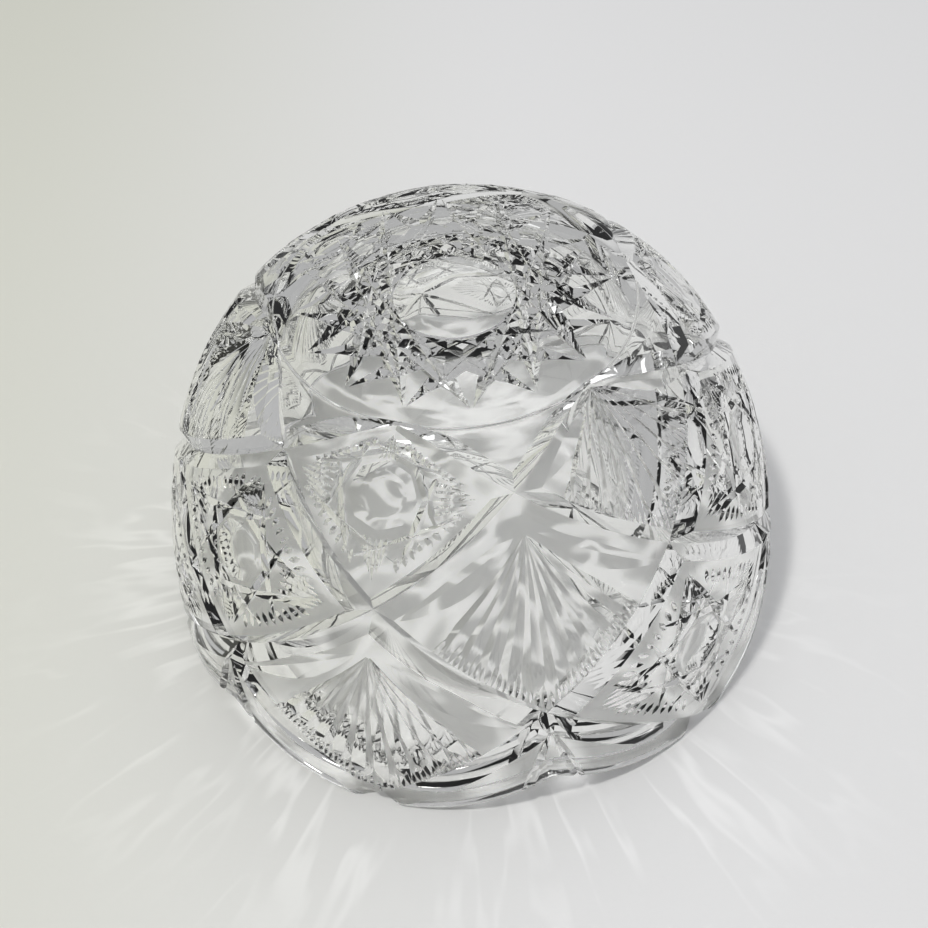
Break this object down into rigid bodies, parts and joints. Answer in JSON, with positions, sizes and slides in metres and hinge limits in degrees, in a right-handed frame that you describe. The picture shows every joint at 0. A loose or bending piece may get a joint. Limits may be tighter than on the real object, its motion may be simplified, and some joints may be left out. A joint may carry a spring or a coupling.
{
  "type": "pressed glass bowl",
  "caption": "Heavy clear glass bowl with a scalloped rim, a lattice of V grooves and a star in its foot, standing upside down on the rim.",
  "frame": {"origin": "on the bowl's axis, in the plane that the rim's lobes stand on", "axes": "+Z along the bowl's axis from the rim to the foot, so the bowl is upside down; -Y towards the viewer, +X to the viewer's right"},
  "size_m": [0.2058, 0.2048, 0.115],
  "materials": {
    "crystal": "polished, clear and colourless"
  },
  "bodies": {
    "root": {"bowl": "crystal"}
  },
  "joints": []
}
